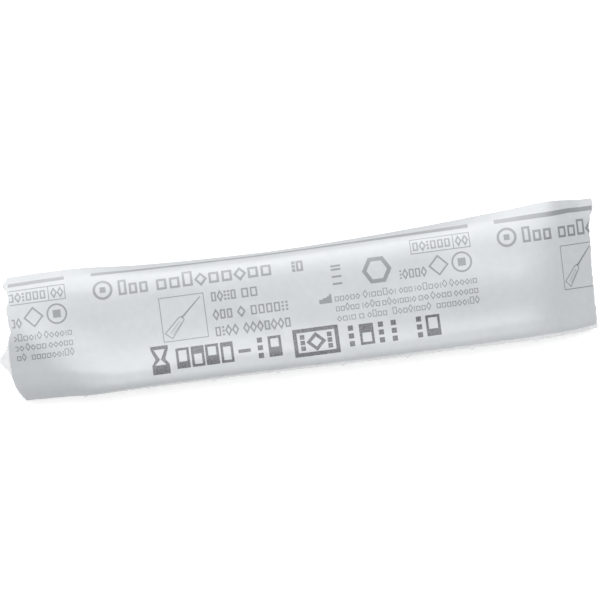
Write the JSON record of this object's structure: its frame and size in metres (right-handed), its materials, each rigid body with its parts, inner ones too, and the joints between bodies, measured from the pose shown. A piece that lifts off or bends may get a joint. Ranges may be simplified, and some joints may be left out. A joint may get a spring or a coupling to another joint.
{
  "type": "sealed needle packet",
  "caption": "Long narrow sterile packet with a softly folded paper lid sealed over a formed film trough that holds a sheathed hypodermic needle.",
  "frame": {"origin": "under the middle of the packet's outline, on the surface that its film trough lies on", "axes": "+X along the packet in the reading direction of the print, +Y up the print towards the ruled edge, +Z out of the paper lid"},
  "size_m": [0.0936, 0.0212, 0.0091],
  "materials": {
    "lid_paper": "matte",
    "film": "satin",
    "grey_print": "matte",
    "dark_print": "matte"
  },
  "bodies": {
    "root": {"needle_packet": "lid_paper"}
  },
  "joints": []
}
